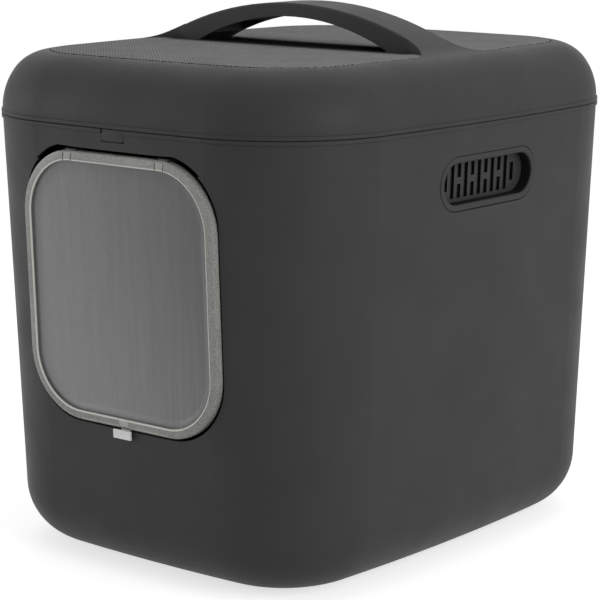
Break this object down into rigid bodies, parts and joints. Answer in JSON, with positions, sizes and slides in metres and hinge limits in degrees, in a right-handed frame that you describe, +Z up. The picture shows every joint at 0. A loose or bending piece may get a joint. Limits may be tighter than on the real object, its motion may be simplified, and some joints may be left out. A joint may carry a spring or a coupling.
{
  "type": "cat litter box with hood",
  "caption": "Tall rounded cat litter box with a hinged hood, strap handle, swinging front flap with a lock, lid catch and vented side grips.",
  "frame": {"origin": "on the floor, under the middle of the bin", "axes": "+Z up, -Y towards the flap (front), +X to the right seen from the front"},
  "size_m": [0.3898, 0.4886, 0.4555],
  "materials": {
    "charcoal_plastic": "fine satin grain",
    "mat_rubber": "fine woven-look texture",
    "foot_rubber": "matt",
    "frame_plastic": "satin metallic grey",
    "smoked_panel": "smooth translucent smoke",
    "pale_plastic": "smooth light grey",
    "filter_foam": "open-cell carbon foam",
    "pin_steel": "drawn wire",
    "spring_steel": "drawn wire"
  },
  "bodies": {
    "base": {"bin": "charcoal_plastic", "feet": "foot_rubber", "flap_bracket_left": "charcoal_plastic", "flap_bracket_right": "charcoal_plastic", "flap_pin_left": "pin_steel", "flap_pin_right": "pin_steel", "grip_left": "charcoal_plastic", "grip_right": "charcoal_plastic", "filter_left": "filter_foam", "filter_right": "filter_foam", "filter_cover_left": "charcoal_plastic", "filter_cover_right": "charcoal_plastic", "lid_hinge_pin_left": "pin_steel", "lid_hinge_pin_right": "pin_steel"},
    "hood": {"lid": "charcoal_plastic", "top_mat": "mat_rubber", "lid_catch_pin": "pin_steel", "lid_catch_spring": "spring_steel"},
    "catch": {"lid_catch": "charcoal_plastic"},
    "flap": {"flap_frame": "frame_plastic", "flap_panel": "smoked_panel"},
    "lock": {"flap_lock": "pale_plastic", "flap_lock_clip": "charcoal_plastic"}
  },
  "joints": [
    {"name": "lid_hinge", "type": "hinge", "parent": "base", "child": "hood", "pos_m": [0, 0.2445, 0.367], "axis": [-1, 0, 0], "range_deg": [0, 95]},
    {"name": "flap_swing", "type": "hinge", "parent": "base", "child": "flap", "pos_m": [0, -0.23258, 0.34527], "axis": [-1, 0, 0], "range_deg": [-60, 60]},
    {"name": "lock_slide", "type": "slide", "parent": "base", "child": "lock", "axis": [0, -0.0401, 0.9992], "range_m": [0, 0.0045]},
    {"name": "catch_press", "type": "hinge", "parent": "hood", "child": "catch", "pos_m": [0, -0.226, 0.382], "axis": [1, 0, 0], "range_deg": [0, 10], "stiffness_Nm_per_rad": 0.06, "springref_deg": -6.88, "deforming": ["lid_catch_spring"]}
  ]
}
